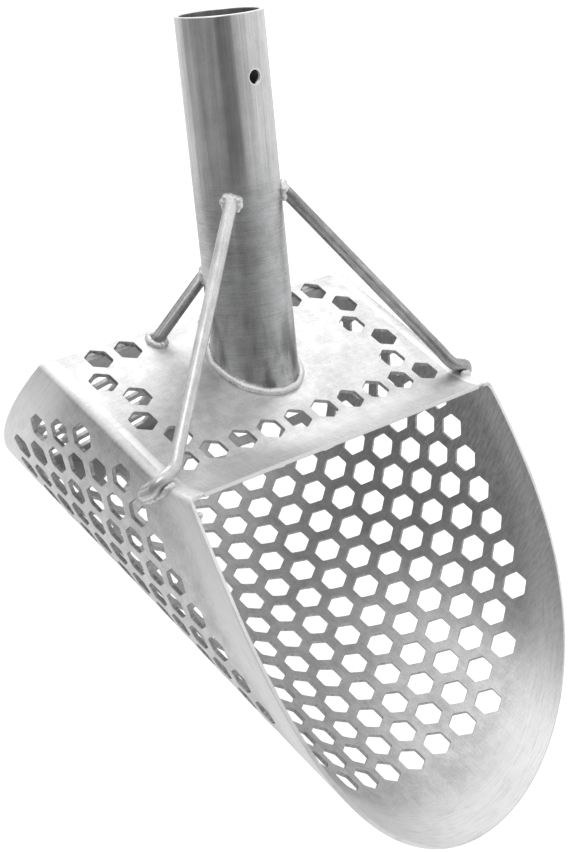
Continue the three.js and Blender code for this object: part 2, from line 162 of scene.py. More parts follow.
# run and rise of the middle of the sheet, summed in short steps round from the keel
GIRTHS = np.linspace(0, HALF_GIRTH, 700)
GIRTH_STEP = GIRTHS[1] - GIRTHS[0]
HEADINGS = heading(GIRTHS[:-1] + GIRTH_STEP / 2)
RUN = np.concatenate([[0], np.cumsum(np.cos(HEADINGS)) * GIRTH_STEP])
RISE = np.concatenate([[0], np.cumsum(np.sin(HEADINGS)) * GIRTH_STEP])
CORNER_X = RUN[-1] - math.sin(WALL_HEADING) * CORNER_MID
KEEL_HEIGHT = -CORNER_RADIUS - math.cos(WALL_HEADING) * CORNER_MID - RISE[-1]
FLANGE_END = HALF_GIRTH + CORNER_ARC + CORNER_X - SEAM_X


def section(across):
    """x, z and heading of the middle of the sheet, at distances round from the keel."""
    side = np.where(across < 0, -1.0, 1.0)
    girth = np.abs(across)
    past = np.maximum(girth - HALF_GIRTH, 0)
    bent = WALL_HEADING + np.minimum(past, CORNER_ARC) / CORNER_MID
    flange = np.maximum(past - CORNER_ARC, 0)
    over_x = CORNER_X + np.sin(bent) * CORNER_MID - flange
    over_z = -CORNER_RADIUS - np.cos(bent) * CORNER_MID
    x = np.where(past > 0, over_x, np.interp(girth, GIRTHS, RUN))
    z = np.where(past > 0, over_z, KEEL_HEIGHT + np.interp(girth, GIRTHS, RISE))
    return side * x, z, side * np.where(past > 0, bent, heading(girth))


def lip_lift(ahead, z):
    """How far the lip lifts points of the top, and of the walls' tops below it."""
    forward = fade(ahead, LIP_START, LIP_END)
    upper = fade(z, -LIP_DEPTH, -LIP_FULL_DEPTH)
    return LIP_RISE * forward ** 2 * upper ** 2 * (3 - 2 * upper)


def lifted(points):
    """Points as the lip lifts them."""
    points = np.array(points, float)
    points[:, 2] += lip_lift(-SOCKET_SETBACK - points[:, 1], points[:, 2])
    return points


def mouth_edge(across):
    """How far ahead the mouth's edge is, never less than the lip's."""
    girth = np.abs(across) + lip_lift(LIP_END, section(across)[1])
    return np.maximum(MOUTH_REACH - girth ** 2 / MOUTH_CURVE, LIP_END)


def rear_edge(z):
    """The rear edge leans forward as it goes down."""
    return -PLATE_REAR + REAR_RAKE * z


def closed_section(inset, count=180):
    """The section as a closed outline, drawn in by an inset from the middle of the sheet."""
    x, z, angle = section(np.linspace(-FLANGE_END, FLANGE_END, count))
    return np.stack([x - np.sin(angle) * inset, z + np.cos(angle) * inset], 1)


# ------------------------------------------------------------------ flat outlines

def spaced(loop, gap):
    """The same closed outline, with its long edges divided."""
    points = []
    for start, end in zip(loop, np.roll(loop, -1, axis=0)):
        count = max(1, round(float(np.linalg.norm(end - start)) / gap))
        points += [start + (end - start) * i / count for i in range(count)]
    return np.array(points)


def rounded(corners, radius, steps=3):
    """A closed outline whose corners are small curves that start radius away from them."""
    corners = np.asarray(corners, float)
    points = []
    for before, corner, after in zip(np.roll(corners, 1, 0), corners, np.roll(corners, -1, 0)):
        start = corner + unit(before - corner) * radius
        end = corner + unit(after - corner) * radius
        for t in np.linspace(0, 1, steps + 1):
            points.append((1 - t) ** 2 * start + 2 * t * (1 - t) * corner + t ** 2 * end)
    return np.array(points)


def hexagon(across, ahead):
    """Outline of one hole, clockwise, so that the metal is on its left."""
    turns = np.arange(6) * math.pi / 3
    corners = np.stack([across + HEX_RADIUS * np.sin(turns), ahead + HEX_RADIUS * np.cos(turns)], 1)
    return spaced(rounded(corners, HOLE_CORNER), EDGE_GAP)


def towards_metal(loop):
    """Flat directions square to an outline, on its left."""
    along = unit(unit(np.roll(loop, -1, 0) - loop) + unit(loop - np.roll(loop, 1, 0)))
    return np.stack([-along[:, 1], along[:, 0]], 1)


# ------------------------------------------------------------------ making pieces

def piece(name, vertices, faces, finish, normals=None, marks=None, replaced=()):
    """A mesh object from points in millimetres, riding on the frame in place of CAD nodes."""
    mesh = bpy.data.meshes.new(name)
    mesh.from_pydata((ORIGIN + np.asarray(vertices) * MM).tolist(), [], faces)
    mesh.shade_smooth()
    for label, values in (marks or {}).items():
        values = np.asarray(values, np.float32)
        kind, field = ("FLOAT_VECTOR", "vector") if values.ndim == 2 else ("FLOAT", "value")
        mesh.attributes.new(label, kind, "POINT").data.foreach_set(field, values.ravel())
    mesh.materials.append(finish)
    if normals is not None:
        mesh.normals_split_custom_set_from_vertices(np.asarray(normals).tolist())
    made = bpy.data.objects.new(name, mesh)
    bpy.context.scene.collection.objects.link(made)
    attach(made, "root")
    if replaced:
        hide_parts(*replaced)
    return made


def nearest(points):
    """A tree that finds the nearest of some points."""
    tree = KDTree(len(points))
    for i, point in enumerate(points):
        tree.insert(Vector(tuple(point)).to_3d(), i)
    tree.balance()
    return tree


def fill_outline(outline, holes, gap, creases):
    """Triangles between an outline and convex holes: points, triangles and each loop's indices.

    Creases are distances across at which the sheet bends tightly and has a line of points.
    """
    loops = [outline, *holes]
    edge_points = np.concatenate(loops)
    near_edge = nearest(edge_points)
    near_hole = nearest([hole.mean(0) for hole in holes])
    low, high = edge_points.min(0), edge_points.max(0)
    inner = []
    regular = [x for x in np.arange(low[0] + gap / 2, high[0], gap)
               if all(abs(x - crease) > gap / 2 for crease in creases)]
    for i, across in enumerate([*regular, *creases]):
        for ahead in np.arange(low[1] + gap / 2 * (i % 2), high[1], gap):
            place = (across, ahead, 0)
            if near_edge.find(place)[2] > gap * 0.5 and near_hole.find(place)[2] > HOLE_FLATS / 2:
                inner.append((across, ahead))
    edges, start = [], 0
    for loop in loops:
        edges += [(start + i, start + (i + 1) % len(loop)) for i in range(len(loop))]
        start += len(loop)
    inputs = [Vector(point) for point in edge_points] + [Vector(point) for point in inner]
    inside = 1
    points, _, triangles, origins, _, _ = delaunay_2d_cdt(inputs, edges, [], inside, 1e-5)
    where = {old: new for new, olds in enumerate(origins) for old in olds}
    rings, start = [], 0
    for loop in loops:
        rings.append([where[start + i] for i in range(len(loop))])
        start += len(loop)
    hole_of = {corner: i for i, ring in enumerate(rings[1:]) for corner in ring}
    metal = []
    for triangle in triangles:
        holes_met = {hole_of.get(corner) for corner in triangle}
        if holes_met == {None} or len(holes_met) > 1:
            metal.append(list(triangle))
    return np.array([point[:] for point in points]), metal, rings


def laid(surface, flat):
    """Points of a surface, its normals and its two directions, at flat points."""
    step = 0.05
    across = unit(surface(flat + (step, 0)) - surface(flat - (step, 0)))
    ahead = unit(surface(flat + (0, step)) - surface(flat - (0, step)))
    return surface(flat), unit(np.cross(across, ahead)), across, ahead


def sheet(name, surface, outline, holes, finish, marks, replaced, creases=()):
    """Sheet metal with cut holes and softened edges.

    marks(flat, points, face) gives its attributes. Face is 1 on the side that the surface's
    normal points to, -1 on the other side and 0 on the cut edges.
    """
    nominal = [outline, *holes]
    inward = [towards_metal(loop) for loop in nominal]
    outer, *inners = [loop + lean * EDGE for loop, lean in zip(nominal, inward)]
    flat, triangles, rings = fill_outline(outer, inners, SHEET_GAP, creases)
    middle, normal, _, _ = laid(surface, flat)
    half = SHEET / 2
    count = len(flat)
    vertices = [middle + normal * half, middle - normal * half]
    normals = [normal, -normal]
    faces = triangles + [[a + count, c + count, b + count] for a, b, c in triangles]
    flats = [flat, flat]
    face = [np.ones(count), -np.ones(count)]
    start = 2 * count
    for loop, lean, ring in zip(nominal, inward, rings):
        point, up, across, ahead = laid(surface, loop)
        out = -unit(across * lean[:, :1] + ahead * lean[:, 1:])
        vertices += [point + up * (half - EDGE), point - up * (half - EDGE)]
        normals += [out, out]
        flats += [loop, loop]
        size = len(loop)
        face.append(np.zeros(2 * size))
        upper = [start + i for i in range(size)]
        lower = [start + size + i for i in range(size)]
        stack = [ring, upper, lower, [i + count for i in ring]]
        for top, bottom in zip(stack, stack[1:]):
            for i in range(size):
                j = (i + 1) % size
                faces.append([top[i], bottom[i], bottom[j], top[j]])
        start += 2 * size
    vertices = np.concatenate(vertices)
    given = marks(np.concatenate(flats), vertices, np.concatenate(face))
    return piece(name, vertices, faces, finish, np.concatenate(normals), given, replaced)


def rings_to_faces(count, sides, closed):
    """Four-sided faces between rings of points."""
    faces = []
    for i in range(count if closed else count - 1):
        k = (i + 1) % count
        for j in range(sides):
            m = (j + 1) % sides
            faces.append([i * sides + j, i * sides + m, k * sides + m, k * sides + j])
    return faces


def sweep(path, radii, sides=16, closed=False):
    """Round bar along a path. Open ends are domed. Returns vertices, faces and flow."""
    path = np.asarray(path, float)
    radii = np.broadcast_to(np.asarray(radii, float), len(path)).copy()
    if closed:
        tangents = unit(np.roll(path, -1, 0) - np.roll(path, 1, 0))
    else:
        dome = np.radians([80, 55, 28])
        first, last = unit(path[0] - path[1]), unit(path[-1] - path[-2])
        head = path[0] + first * radii[0] * 0.6 * np.sin(dome)[:, None]
        tail = path[-1] + last * radii[-1] * 0.6 * np.sin(dome)[::-1, None]
        path = np.concatenate([head, path, tail])
        radii = np.concatenate([radii[0] * np.cos(dome), radii, radii[-1] * np.cos(dome)[::-1]])
        tangents = unit(np.gradient(path, axis=0))
    lean = unit(np.cross(tangents[0], (0.31, 0.2, 0.93)))
    leans = []
    for tangent in tangents:
        lean = unit(lean - tangent * np.dot(lean, tangent))
        leans.append(lean)
    across = np.array(leans)[:, None]
    other = np.cross(tangents, leans)[:, None]
    turns = np.linspace(0, 2 * math.pi, sides, endpoint=False)
    spread = across * np.cos(turns)[None, :, None] + other * np.sin(turns)[None, :, None]
    vertices = (path[:, None] + spread * radii[:, None, None]).reshape(-1, 3)
    along = np.concatenate([[0], np.cumsum(np.linalg.norm(np.diff(path, axis=0), axis=1))])
    flow = np.stack([
        (radii[:, None] * np.cos(turns)).ravel(),
        (radii[:, None] * np.sin(turns)).ravel(),
        np.repeat(along, sides),
    ], 1)
    faces = rings_to_faces(len(path), sides, closed)
    if not closed:
        faces.append(list(range(sides))[::-1])
        faces.append([len(vertices) - sides + i for i in range(sides)])
    return vertices, faces, flow


def smooth_path(points, gap, closed=False):
    """Points at even gaps along a curve through the given ones."""
    points = np.asarray(points, float)
    wrapped = np.concatenate([points[-1:], points, points[:2]]) if closed else np.concatenate(
        [2 * points[:1] - points[1:2], points, 2 * points[-1:] - points[-2:-1]])
    fine = []
    for p0, p1, p2, p3 in zip(wrapped, wrapped[1:], wrapped[2:], wrapped[3:]):
        for t in np.linspace(0, 1, 24, endpoint=False):
            fine.append(0.5 * (2 * p1 + (p2 - p0) * t + (2 * p0 - 5 * p1 + 4 * p2 - p3) * t * t
                               + (3 * p1 - p0 - 3 * p2 + p3) * t ** 3))
    fine = np.array(fine + ([fine[0]] if closed else [points[-1]]))
    along = np.concatenate([[0], np.cumsum(np.linalg.norm(np.diff(fine, axis=0), axis=1))])
    stops = np.linspace(0, along[-1], max(4, round(along[-1] / gap)) + 1)
    if closed:
        stops = stops[:-1]
    return np.stack([np.interp(stops, along, fine[:, axis]) for axis in range(3)], 1)


def weld_bead(name, points, radius, replaced, closed=False, ripple=1.7, wander=0.2):
    """A hand-laid bead: ripples at each dip of the rod, and slow changes of width and line."""
    path = smooth_path(points, ripple / 5, closed)
    steps = np.arange(len(path))
    cycles = max(1, round(len(path) / 5))
    turns = 2 * math.pi * steps / len(path)
    rounds = [dice.uniform(0, 2 * math.pi) for _ in range(6)]
    slow = sum(np.sin(turns * (3 + 4 * k) + rounds[k]) for k in range(3)) / 3
    offset = np.stack([sum(np.sin(turns * (2 + 5 * k + axis) + rounds[3 + k]) for k in range(3)) / 3
                       for axis in range(3)], 1)
    scallop = np.abs(np.sin(turns * cycles / 2))
    radii = radius * (0.93 + 0.14 * slow + 0.09 * scallop)
    vertices, faces, flow = sweep(path + offset * wander, radii, 12, closed)
    return piece(name, vertices, faces, WELD, marks={"flow": flow}, replaced=replaced)


def evaluated(draft):
    """A mesh with an object's modifiers applied."""
    return bpy.data.meshes.new_from_object(draft.evaluated_get(bpy.context.evaluated_depsgraph_get()))


def weld_lump(name, blobs, replaced=(), grain=0.35):
    """Solidified drops of weld that have run together."""
    build = bmesh.new()
    for centre, radius in blobs:
        place = Matrix.Translation(Vector(centre)) @ Matrix.Scale(radius, 4)
        bmesh.ops.create_icosphere(build, subdivisions=3, radius=1, matrix=place)
    mesh = bpy.data.meshes.new(name)
    build.to_mesh(mesh)
    build.free()
    draft = bpy.data.objects.new(name + "_draft", mesh)
    bpy.context.scene.collection.objects.link(draft)
    skin = draft.modifiers.new("skin", "REMESH")
    skin.mode = "VOXEL"
    skin.voxel_size = grain
    soften = draft.modifiers.new("soften", "SMOOTH")
    soften.factor = 0.5
    soften.iterations = 3
    melted = evaluated(draft)
    vertices = np.array([v.co[:] for v in melted.vertices])
    faces = [list(face.vertices) for face in melted.polygons]
    bpy.data.objects.remove(draft)
    bpy.data.meshes.remove(melted)
    return piece(name, vertices, faces, WELD, marks={"flow": vertices}, replaced=replaced)


# ------------------------------------------------------------------ finishes
#
# Every point carries marks that its finish reads. Flow is a place in millimetres that streaks
# follow, and rim a distance from the sheet's edge. Heat is the tint beside a weld. The mark that
# darkens is painted shade and painted reflection, and the mark that lightens is freshly ground
# metal and, on some cut edges, a painted highlight; each runs from 0 to 1.

class Nodes:
    """A node tree, built a node at a time."""

    def __init__(self, tree):
        self.tree = tree

    def add(self, kind, settings=None, output=0, **inputs):
        """Add a node and return one output. Inputs are named, or numbered as i0, i1 and so on."""
        made = self.tree.nodes.new("ShaderNode" + kind)
        for key, value in (settings or {}).items():
            setattr(made, key, value)
        for key, value in inputs.items():
            self.put(made.inputs[int(key[1:]) if key[1:].isdigit() else key], value)
        return made.outputs[output]

    def put(self, socket, value):
        if isinstance(value, bpy.types.NodeSocket):
            self.tree.links.new(value, socket)
        else:
            socket.default_value = value

    def seen(self):
        """1 for what the camera sees directly, 0 for what is lit or mirrored."""
        return self.add("LightPath", output="Is Camera Ray")

    def axes(self, vector):
        return list(self.add("SeparateXYZ", i0=vector).node.outputs)

    def math(self, operation, a, b=0.0, c=0.0):
        return self.add("Math", {"operation": operation}, i0=a, i1=b, i2=c)

    def times(self, product, *factors):
        for factor in factors:
            product = self.math("MULTIPLY", product, factor)
        return product

    def stretched(self, vector, scales):
        return self.add("VectorMath", {"operation": "MULTIPLY"}, i0=vector, i1=scales)

    def measured(self, operation, a, b=(0, 0, 0)):
        """A length, a distance or a dot product."""
        return self.add("VectorMath", {"operation": operation}, "Value", i0=a, i1=b)

    def ramp(self, value, low, high, to_low=0.0, to_high=1.0):
        return self.add("MapRange", {"interpolation_type": "SMOOTHSTEP"}, i0=value, i1=low, i2=high,
                        i3=to_low, i4=to_high)


class Finish(Nodes):
    """A material. Its color, rough and height are what it has so far."""

    def __init__(self, name):
        self.material = bpy.data.materials.new(name)
        self.material.use_nodes = True
        super().__init__(self.material.node_tree)
        self.shader = self.tree.nodes["Principled BSDF"]
        self.color = grey(0.5)
        self.rough = 0.5
        self.height = 0.0

    def set(self, label, value):
        """Set or link one of the shader's inputs."""
        self.put(self.shader.inputs[label], value)

    def mark(self, label, output="Fac"):
        return self.add("Attribute", {"attribute_name": label}, output)

    def position(self):
        """Object coordinates in millimetres."""
        return self.stretched(self.add("TexCoord", output="Object"), (1 / MM,) * 3)

    def noise(self, vector, size, detail=3.0, stretch=(1, 1, 1), roughness=0.55):
        """Noise with features of a size in millimetres, stretched along chosen axes."""
        scaled = self.stretched(vector, tuple(1 / (size * s) for s in stretch))
        return self.add("TexNoise", Vector=scaled, Scale=1.0, Detail=detail, Roughness=roughness)

    def blend(self, share, a, b):
        return self.add("Mix", {"data_type": "RGBA"}, 2, i0=share, i6=a, i7=b)


def grey(level, blue=0.0):
    return (level - blue / 2, level, level + blue, 1)


def steel(name, dark, bright, roughness):
    """The start of every finish: clouds, stains and fine grain in stainless steel."""
    finish = Finish(name)
    finish.set("Metallic", 1.0)
    place = finish.position()
    clouds = finish.noise(place, 24, 3.0)
    stains = finish.noise(place, 6, 4.0, roughness=0.65)
    grain = finish.noise(place, 0.8, 3.0, roughness=0.75)
    tone = finish.times(finish.ramp(clouds, 0.3, 0.7), 0.35)
    tone = finish.math("MULTIPLY_ADD", finish.ramp(stains, 0.35, 0.65), 0.25, tone)
    tone = finish.math("MULTIPLY_ADD", finish.ramp(grain, 0.3, 0.7), 0.4, tone)
    finish.color = finish.blend(tone, dark, bright)
    finish.rough = finish.math("MULTIPLY_ADD", clouds, 0.12, roughness - 0.06)
    finish.height = finish.times(grain, 0.05)
    return finish


def shade(finish, share, level):
    """Blend the colour so far towards a grey."""
    finish.color = finish.blend(share, finish.color, level)


def streak(finish, vector, size, stretch, contrast, depth, zone=1.0):
    """Fine parallel lines, darker and deeper by turns, within a zone."""
    lines = finish.noise(vector, size, 4.0, stretch, 0.7)
    shade(finish, finish.times(finish.ramp(lines, 0.5, 0.7), zone, contrast), grey(0.12))
    shade(finish, finish.times(finish.ramp(lines, 0.5, 0.3), zone, contrast), grey(0.97))
    finish.height = finish.math("MULTIPLY_ADD", finish.times(lines, zone), depth, finish.height)


def strip(finish, bare_and_highlight, loss):
    """Freshly cut or ground metal, pale and with less of a mirror; also used for painted highlights on cut
    edges.
    """
    shade(finish, bare_and_highlight, grey(0.97))
    finish.set("Metallic", finish.math("MULTIPLY_ADD", bare_and_highlight, -loss, 1.0))


def finished(finish):
    finish.set("Base Color", finish.color)
    finish.set("Roughness", finish.rough)
    finish.set("Normal", finish.add("Bump", Height=finish.height, Distance=MM, Strength=1.0))
    return finish.material


def sheet_steel():
    """Rolled sheet: sanded and lightened along its edges, partly as painted light; mottled painted shade
    inside and elsewhere; tinted beside the welds.
    """
    finish = steel("sheet_steel", grey(0.5), grey(0.84), 0.4)
    flow = finish.mark("flow", "Vector")
    rim = finish.mark("rim")
    streak(finish, flow, 0.9, (1, 16, 1), 0.14, 0.03)
    sanded_and_lit = finish.ramp(rim, 32.0, 12.0)
    strokes = finish.add("CombineXYZ", i0=rim, i1=finish.axes(flow)[0])
    # The sanded band is lightened: partly pale sanded metal, partly painted light along the mouth.
    shade(finish, finish.times(sanded_and_lit, 0.7), grey(0.94))
    streak(finish, strokes, 0.8, (1, 20, 1), 0.22, 0.09, sanded_and_lit)
    # Painted shade, mottled, and weaker in the sanded band.
    mottle = finish.noise(flow, 1.1, 4.0, (6, 1, 1), 0.75)
    depth = finish.math("MULTIPLY_ADD", finish.ramp(mottle, 0.3, 0.7), 0.5, 0.36)
    less_at_edges = finish.math("MULTIPLY_ADD", sanded_and_lit, -0.25, 1.0)
    shade(finish, finish.times(finish.mark("painted_shade"), depth, less_at_edges), grey(0.22))
    shade(finish, finish.times(finish.mark("heat"), 0.75), grey(0.3, 0.02))
    # Pale ground metal, and painted highlights on some cut edges.
    strip(finish, finish.mark("bare_and_highlight"), 0.8)
    finish.rough = finish.math("MULTIPLY_ADD", sanded_and_lit, 0.08, finish.rough)
    return finished(finish)


def tube_steel():
    """Drawn tube: long streaks above, lightened there as painted light, with a dark band painted as a
    reflection; turned lines and a scorched foot below; painted shade in the bore; painted highlights on the
    rim and round the cross hole.
    """
    finish = steel("tube_steel", grey(0.42), grey(0.76, 0.01), 0.34)
    flow = finish.mark("flow", "Vector")
    height = finish.axes(flow)[2]
    upper = finish.ramp(height, 70.0, 105.0)
    lower = finish.ramp(height, 105.0, 70.0)
    streak(finish, flow, 5.0, (1, 1, 30), 0.65, 0.02, upper)
    streak(finish, flow, 1.3, (1, 1, 60), 0.35, 0.03, upper)
    streak(finish, flow, 0.6, (30, 30, 1), 0.3, 0.05, lower)
    # Painted light: the upper part is lightened, and a dark band is painted down it where it faces the
    # camera, as a reflection of the darker surroundings on that side.
    shade(finish, finish.times(upper, 0.35), grey(0.93))
    towards = finish.measured("DOT_PRODUCT", flow, (math.sin(DARK_REFLECTION_BEARING), -math.cos(DARK_REFLECTION_BEARING), 0))
    dark_reflection = finish.ramp(towards, SOCKET_RADIUS * math.cos(DARK_REFLECTION_FADE), SOCKET_RADIUS * math.cos(DARK_REFLECTION_WIDTH))
    shade(finish, finish.times(dark_reflection, upper, 0.45), grey(0.16))
    shade(finish, finish.times(lower, 0.15), grey(0.3, 0.02))
    patches = finish.ramp(finish.noise(flow, 7, 4.0, (1, 1, 3)), 0.4, 0.7)
    shade(finish, finish.times(finish.ramp(height, 45.0, 0.0), patches, 0.85), grey(0.14))
    # Painted shade on the inside of the bore.
    from_axis = finish.measured("LENGTH", finish.stretched(flow, (1, 1, 0)))
    bore_shade = finish.ramp(from_axis, SOCKET_RADIUS - 1.0, SOCKET_RADIUS - 1.6)
    shade(finish, finish.times(bore_shade, 0.5), grey(0.1))
    # Painted highlights: a pale ring round the cross hole, outside the bore, and along the cut rim of the
    # tube.
    hole = (0, 0, SOCKET_LENGTH - PIN_HOLE_DROP)
    from_hole = finish.measured("DISTANCE", finish.stretched(flow, (1, 0, 1)), hole)
    hole_highlight = finish.ramp(from_hole, PIN_HOLE_RADIUS + 0.8, PIN_HOLE_RADIUS + 0.3)
    hole_highlight = finish.times(hole_highlight, finish.math("SUBTRACT", 1.0, bore_shade))
    rim = finish.ramp(height, SOCKET_LENGTH - 0.6, SOCKET_LENGTH - 0.1)
    strip(finish, finish.math("MAXIMUM", hole_highlight, rim), 0.7)
    return finished(finish)


def rod_steel(name, dark, bright, contrast):
    """Drawn rod, with lines along it."""
    finish = steel(name, dark, bright, 0.36)
    flow = finish.mark("flow", "Vector")
    streak(finish, flow, 0.5, (1, 1, 30), contrast, 0.04)
    streak(finish, flow, 2.2, (1, 1, 20), contrast, 0.02)
    return finished(finish)


def weld_metal():
    """Pale frosted weld with a fine crust."""
    finish = steel("weld_metal", grey(0.68), grey(0.97), 0.52)
    crust = finish.noise(finish.mark("flow", "Vector"), 0.9, 3.0)
    finish.height = finish.math("MULTIPLY_ADD", crust, 0.2, finish.height)
    shade(finish, finish.times(finish.ramp(crust, 0.45, 0.3), 0.4), grey(0.3))
    return finished(finish)


SHEET_STEEL = sheet_steel()
TUBE_STEEL = tube_steel()
# The rod steel in two copies, a lit one and a shaded one: painted light and painted shade.
LIT_ROD = rod_steel("lit_rod_steel", grey(0.55), grey(0.9), 0.2)
SHADED_ROD = rod_steel("shaded_rod_steel", grey(0.22), grey(0.56), 0.35)
WELD = weld_metal()

# ------------------------------------------------------------------ sheets

def wave(points):
    """Slow waves of hand-bent sheet, up to a few tenths of a millimetre."""
    x, y, z = points.T
    wide = np.sin(x / 31 + 0.7) * np.sin(y / 27 - z / 35 + 0.4)
    close = np.sin(x / 13 - y / 17 + 2.1) * np.sin(z / 15 + y / 12)
    return 0.16 * wide + 0.05 * close


def heat_sources():
    """Points at the feet of the struts, where welding has tinted the sheets."""
    spots = []
    for side in (-1, 1):
        spots.append((side * CORNER_X, FRONT_STRUT_Y, 0))
        spots.append((side * (CORNER_X + CORNER_RADIUS), FRONT_STRUT_Y, -CORNER_RADIUS - TAIL_DROP))
        spots.append((side * REAR_FOOT_X, REAR_FOOT_Y, 0))
    return spots


HEAT_TREE = nearest(heat_sources())


def heat_marks(points, reach=9.0):
    far = np.array([HEAT_TREE.find(point)[2] for point in points])
    return np.exp(-((far / reach) ** 2))


def flow_marks(across, along):
    """Coordinates for the streaks, which run along the second."""
    return np.stack([across, along, np.zeros(len(across))], 1)


def trough_surface(flat):
    x, z, angle = section(flat[:, 0])
    points = np.stack([x, -SOCKET_SETBACK - flat[:, 1], z], 1)
    out = np.stack([np.sin(angle), np.zeros_like(x), -np.cos(angle)], 1)
    calm = fade(HALF_GIRTH - np.abs(flat[:, 0]), 0, 25)
    return lifted(points + out * (wave(points) * calm)[:, None])


def trough_has_hole(line, row):
    """Whether a crossing of the lattice is a hole.

    From row to row towards the mouth the lattice narrows by one line on each side. Behind that,
    the left wall has one more line of holes at its top than the right wall.
    """
    z = section(np.array([line * PITCH / 2]))[1][0]
    ahead = row * ROW
    last_line = 19 if line < 0 else 18
    if row > 0:
        last_line = 18 - row
    in_mouth = mouth_edge(abs(line) / 2 * PITCH) - ahead >= MOUTH_BAND
    return abs(line) <= last_line and in_mouth and ahead - rear_edge(z) >= REAR_BAND


def trough_shell():
    edge = FLANGE_END - SEAM_HALF_WIDTH
    bends = HALF_GIRTH + CORNER_ARC * np.linspace(0, 1, 5)
    creases = [*-bends[::-1], *bends]
    across = np.union1d(np.linspace(-edge, edge, 150), creases)
    rear = np.stack([across, rear_edge(section(across)[1])], 1)
    mouth = np.stack([across, mouth_edge(across)], 1)[::-1]
    outline = spaced(np.concatenate([rear, mouth]), EDGE_GAP)
    holes = []
    for line in range(-20, 21):
        for row in range(-7, 9):
            if (row + line) % 2 == 0 and trough_has_hole(line, row):
                holes.append(hexagon(line * PITCH / 2, row * ROW))

    def marks(flat, points, face):
        across, ahead = flat.T
        girth = np.abs(across)
        rim = np.minimum(mouth_edge(across) - ahead, ahead - rear_edge(section(across)[1]))
        # Painted shade on the inner face up the walls, and a painted reflection darkening the outer face
        # towards the tops of the walls. The cut faces of the holes are darkened too.
        inside = fade(girth, 50, 140) * (face < 0)
        outside = 0.4 * fade(girth, 125, 160) * fade(rim, 12, 32) * (face > 0)
        # A painted highlight on the cut edges of the corners and flanges at the mouth and the rear. The
        # outer face is also pale ground metal near the mouth, at the rear corners and on the flanges.
        edge_highlight = (face == 0) & (rim < 1)
        rear_corner = np.hypot(girth - HALF_GIRTH, ahead + PLATE_REAR)
        ground = np.maximum.reduce([
            (1 - fade(rim, 12, 30)) * (ahead > 0),
            1 - fade(rear_corner, 14, 28),
            1.0 * (girth > HALF_GIRTH),
        ])
        return {
            "flow": flow_marks(across, ahead),
            "rim": rim,
            "heat": heat_marks(points),
            "painted_shade": inside + outside + (face == 0) * (rim > 3),
            "bare_and_highlight": 0.8 * edge_highlight * (girth > HALF_GIRTH) + 0.3 * ground * (face > 0),
        }

    return sheet("trough_sheet", trough_surface, outline, holes, SHEET_STEEL, marks, ["trough_shell"],
                 creases=creases)


def plate_surface(flat):
    points = np.stack([flat[:, 0], -SOCKET_SETBACK - flat[:, 1], np.full(len(flat), PLATE_MID)], 1)
    calm = fade(SEAM_X - np.abs(flat[:, 0]), 0, 20)
    return lifted(points + np.outer(wave(points) * calm, (0, 0, 1)))


def plate_holes():
    """A row along the front, two lines down each side, and three at the rear."""
    holes = []
    for line in range(-9, 10):
        for row in range(0, 6):
            at_side = abs(line) >= 8
            at_rear = row == 5 and abs(line) in (0, 6)
            if (row + line) % 2 == 1 and (row == 0 or at_side or at_rear):
                holes.append(hexagon(line * PITCH / 2, -row * ROW))
    return holes


def top_plate():
    edge = SEAM_X - SEAM_HALF_WIDTH
    corners = [(-edge, -PLATE_REAR), (edge, -PLATE_REAR), (edge, LIP_END), (-edge, LIP_END)]
    outline = spaced(rounded(corners, 0.4), EDGE_GAP)

    def marks(flat, points, face):
        across, ahead = flat.T
        # Painted shade and painted reflection: the top darkens to the left rear, along the rear edge and
        # over the lip, and the underside and the cut faces of the holes are darkened fully. The lip's front
        # cut face is left light and gets a painted highlight.
        left_rear_shade = fade(-across, 20, 80) * fade(ahead, -90, -30)
        top_shade = np.maximum.reduce([0.34 * left_rear_shade, 0.34 * fade(-ahead, 66, 81), 0.7 * fade(ahead, 8, 22)])
        lip_edge = (face == 0) & (ahead > LIP_END - 1)
        return {
            "flow": flow_marks(ahead, across),
            "rim": np.clip(LIP_END - ahead + 12, 0, 60),
            "heat": heat_marks(points),
            "painted_shade": np.where(face < 0, top_shade, 1.0 - lip_edge),
            "bare_and_highlight": 1.0 * lip_edge,
        }

    return sheet("plate_sheet", plate_surface, outline, plate_holes(), SHEET_STEEL, marks, ["top_plate"])


def on_rear_plane(x, z, inward):
    """Points on the raked plane of the trough's rear edge, moved into the trough."""
    y = -SOCKET_SETBACK - rear_edge(z) - inward * REAR_SCALE
    return np.stack([x, y, z], 1)


def rear_plate():
    clearance = 0.2
    outline = spaced(closed_section(SHEET / 2 + clearance) * (1, REAR_SCALE), EDGE_GAP)
    x, z = closed_section(REAR_BAND).T
    holes = []
    for row in range(2, 8):
        reach = x[np.abs(z + row * ROW / REAR_SCALE) < ROW].max() - HOLE_FLATS / 2
        for line in range(-20, 21):
            if (row + line) % 2 == 0 and abs(line * PITCH / 2) < reach:
                holes.append(hexagon(line * PITCH / 2, -row * ROW))

    def surface(flat):
        return on_rear_plane(flat[:, 0], flat[:, 1] / REAR_SCALE, REAR_RECESS + SHEET / 2)

    def marks(flat, points, face):
        none = np.zeros(len(flat))
        flow = flow_marks(*flat.T)
        # Painted shade over the whole rear plate, on both faces.
        return {"flow": flow, "rim": none + 60, "heat": none, "painted_shade": none + 0.7, "bare_and_highlight": none}

    return sheet("rear_sheet", surface, outline, holes, SHEET_STEEL, marks, ["rear_plate"])


